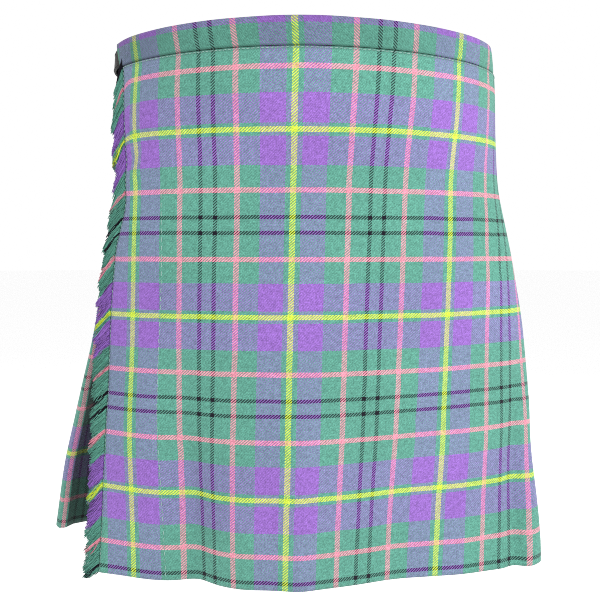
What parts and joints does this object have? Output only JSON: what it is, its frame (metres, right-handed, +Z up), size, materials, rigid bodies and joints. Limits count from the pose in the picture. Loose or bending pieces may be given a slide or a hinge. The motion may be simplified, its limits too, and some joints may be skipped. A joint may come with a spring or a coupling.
{
  "type": "scottish kilt, worn and fastened, without a wearer",
  "caption": "Knee-length tartan kilt in its worn, hollow form: fringed over apron, under apron, waistband and knife pleats round the back.",
  "frame": {"origin": "middle of the waist opening, half way up the waistband, where the wearer's waist holds the kilt", "axes": "+Z up, -Y to the front, +X to the wearer's left"},
  "size_m": [0.6129, 0.4534, 0.5798],
  "materials": {
    "tartan": "twill wool tartan in teal green and lilac, with lime, pink and black lines",
    "threads": "loose warp threads of the same tartan",
    "leather": "black grained leather",
    "buckle": "plain steel wire"
  },
  "bodies": {
    "root": {"over_apron": "tartan", "under_apron": "tartan", "waistband": "tartan", "under_waistband": "tartan", "pleat_01": "tartan", "pleat_02": "tartan", "pleat_03": "tartan", "pleat_04": "tartan", "pleat_05": "tartan", "pleat_06": "tartan", "pleat_07": "tartan", "pleat_08": "tartan", "pleat_09": "tartan", "pleat_10": "tartan", "pleat_11": "tartan", "pleat_12": "tartan", "pleat_13": "tartan", "pleat_14": "tartan", "pleat_15": "tartan", "pleat_16": "tartan", "pleat_17": "tartan", "pleat_18": "tartan", "pleat_19": "tartan", "pleat_20": "tartan", "right_hip_pleat": "tartan", "fringe": "threads", "right_waist_strap": "leather", "right_waist_chape": "leather", "right_waist_keeper": "leather", "right_waist_buckle": "buckle", "right_waist_prong": "buckle", "right_hip_strap": "leather", "right_hip_chape": "leather", "right_hip_keeper": "leather", "right_hip_buckle": "buckle", "right_hip_prong": "buckle", "left_waist_strap": "leather", "left_waist_chape": "leather", "left_waist_keeper": "leather", "left_waist_buckle": "buckle", "left_waist_prong": "buckle"}
  },
  "joints": []
}
